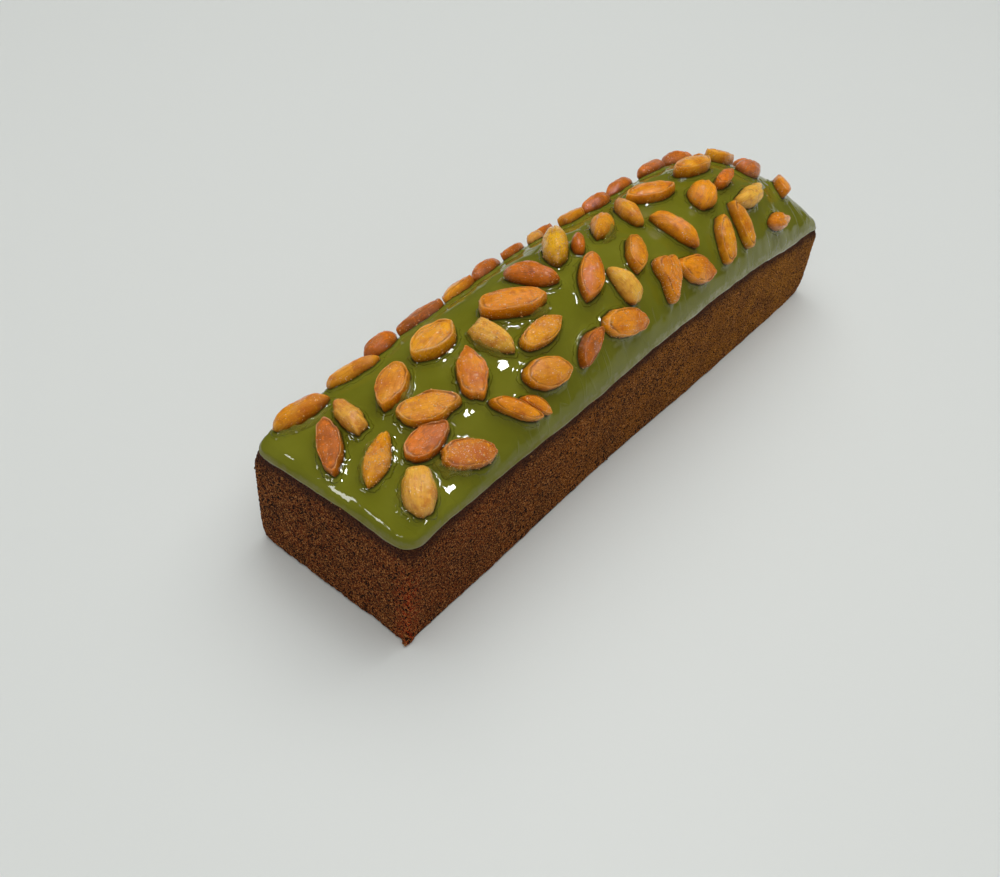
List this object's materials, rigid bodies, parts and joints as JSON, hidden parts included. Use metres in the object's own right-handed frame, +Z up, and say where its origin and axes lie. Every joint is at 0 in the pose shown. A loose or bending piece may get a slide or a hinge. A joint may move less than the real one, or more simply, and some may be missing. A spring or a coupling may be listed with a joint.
{
  "type": "matcha loaf cake",
  "caption": "Long slim loaf cake with a brown fine-crumb crust, a low domed top under glossy green matcha glaze, and syrup-glazed almonds bedded all over it.",
  "frame": {"origin": "middle of the flat base, on the surface the cake stands on", "axes": "+X along the loaf from the end nearest the camera to the far end, +Y across it, +Z up"},
  "size_m": [0.2467, 0.0609, 0.0714],
  "materials": {
    "crust": "dark brown fine-crumb crust, matte, with small dark pores",
    "matcha_glaze": "glossy olive-green matcha glaze, thin and greyish at the hem",
    "almond_amber": "syrup-glazed amber almond, glossy with fine skin wrinkles",
    "almond_orange": "syrup-glazed orange almond, glossy with fine skin wrinkles",
    "almond_rust": "syrup-glazed rust almond, glossy with fine skin wrinkles",
    "almond_tan": "syrup-glazed tan almond, glossy with fine skin wrinkles",
    "almond_olive": "syrup-glazed olive almond, glossy with fine skin wrinkles"
  },
  "bodies": {
    "root": {"cake": "crust", "glaze": "matcha_glaze", "almond_01": "almond_amber", "almond_02": "almond_rust", "almond_03": "almond_tan", "almond_04": "almond_amber", "almond_05": "almond_tan", "almond_06": "almond_rust", "almond_07": "almond_amber", "almond_08": "almond_amber", "almond_09": "almond_amber", "almond_10": "almond_amber", "almond_11": "almond_rust", "almond_12": "almond_amber", "almond_13": "almond_orange", "almond_14": "almond_orange", "almond_15": "almond_orange", "almond_16": "almond_rust", "almond_17": "almond_tan", "almond_18": "almond_amber", "almond_19": "almond_amber", "almond_20": "almond_orange", "almond_21": "almond_amber", "almond_22": "almond_rust", "almond_23": "almond_rust", "almond_24": "almond_rust", "almond_25": "almond_orange", "almond_26": "almond_orange", "almond_27": "almond_rust", "almond_28": "almond_tan", "almond_29": "almond_rust", "almond_30": "almond_olive", "almond_31": "almond_tan", "almond_32": "almond_amber", "almond_33": "almond_rust", "almond_34": "almond_amber", "almond_35": "almond_orange", "almond_36": "almond_amber", "almond_37": "almond_amber", "almond_38": "almond_orange", "almond_39": "almond_orange", "almond_40": "almond_rust", "almond_41": "almond_orange", "almond_42": "almond_rust", "almond_43": "almond_amber", "almond_44": "almond_orange", "almond_45": "almond_amber", "almond_46": "almond_rust", "almond_47": "almond_amber", "almond_48": "almond_tan", "almond_49": "almond_rust", "almond_50": "almond_rust", "almond_51": "almond_orange", "almond_52": "almond_amber", "almond_53": "almond_rust", "almond_54": "almond_orange", "almond_55": "almond_amber", "almond_56": "almond_rust"}
  },
  "joints": []
}
